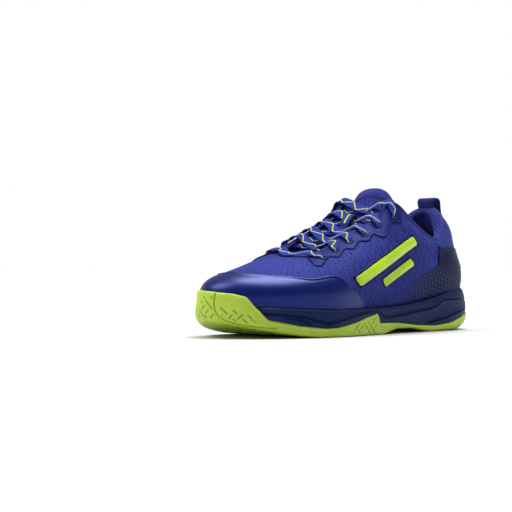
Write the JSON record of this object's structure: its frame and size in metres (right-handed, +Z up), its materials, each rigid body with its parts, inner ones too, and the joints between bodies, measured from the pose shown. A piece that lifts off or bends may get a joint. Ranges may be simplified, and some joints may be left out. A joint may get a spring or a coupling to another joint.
{
  "type": "court shoe",
  "caption": "Low-cut indoor court shoe for the left foot, with cup midsole, wrapped rubber outsole, laced mesh upper and removable sockliner.",
  "frame": {"origin": "point of the flat tread that the shoe stands on, below the instep", "axes": "+Z up, -Y towards the toe, +Y towards the heel, +X towards the outer (lateral) side of the left foot"},
  "size_m": [0.1099, 0.3004, 0.1275],
  "materials": {
    "outsole_rubber": "satin gum rubber",
    "midsole_foam": "matte moulded foam",
    "upper_mesh": "matte engineered mesh",
    "overlay_film": "satin moulded film",
    "heel_film": "satin moulded film",
    "emblem_rubber": "satin raised rubber",
    "knit": "soft spacer knit",
    "foam": "open foam",
    "stiffener": "fibre board",
    "shank_plastic": "satin nylon",
    "sockliner_cloth": "brushed textile on foam",
    "webbing": "woven tape",
    "lace_weave": "flat woven lace with a yellow thread",
    "aglet_plastic": "clear glossy tube"
  },
  "bodies": {
    "shoe": {"outsole": "outsole_rubber", "midsole": "midsole_foam", "shank": "shank_plastic", "heel_cushion": "foam", "insole_board": "stiffener", "vamp": "upper_mesh", "quarter_lateral": "upper_mesh", "quarter_medial": "upper_mesh", "toe_puff": "stiffener", "heel_counter": "stiffener", "toe_overlay": "overlay_film", "eyestay_lateral": "overlay_film", "eyestay_medial": "overlay_film", "heel_overlay_lateral": "heel_film", "heel_overlay_medial": "heel_film", "heel_badge": "heel_film", "back_tape": "webbing", "collar_foam": "foam", "collar_lining": "knit", "emblem_bar_long": "emblem_rubber", "emblem_bar_short": "emblem_rubber", "tongue_cover": "knit", "tongue_foam": "foam", "tongue_lining": "knit", "lace_keeper": "webbing", "lace": "lace_weave", "aglet_lateral": "aglet_plastic", "aglet_medial": "aglet_plastic", "tab_leg_outer": "webbing", "tab_leg_inner": "webbing"},
    "tongue_top": {"tongue_cuff": "knit"},
    "pull_tab": {"heel_tab": "webbing"},
    "insert": {"sockliner": "sockliner_cloth"}
  },
  "joints": [
    {"name": "tongue_flex", "type": "hinge", "parent": "shoe", "child": "tongue_top", "pos_m": [0, 0.039, 0.108], "axis": [1, 0, 0], "range_deg": [-15, 20], "stiffness_Nm_per_rad": 0.2},
    {"name": "heel_tab_flex", "type": "hinge", "parent": "shoe", "child": "pull_tab", "pos_m": [0, 0.122, 0.1126], "axis": [1, 0, 0], "range_deg": [-18, 18], "stiffness_Nm_per_rad": 0.02},
    {"name": "sockliner_lift", "type": "hinge", "parent": "shoe", "child": "insert", "pos_m": [0, -0.138, 0.022], "axis": [1, 0, 0], "range_deg": [0, 5]}
  ]
}
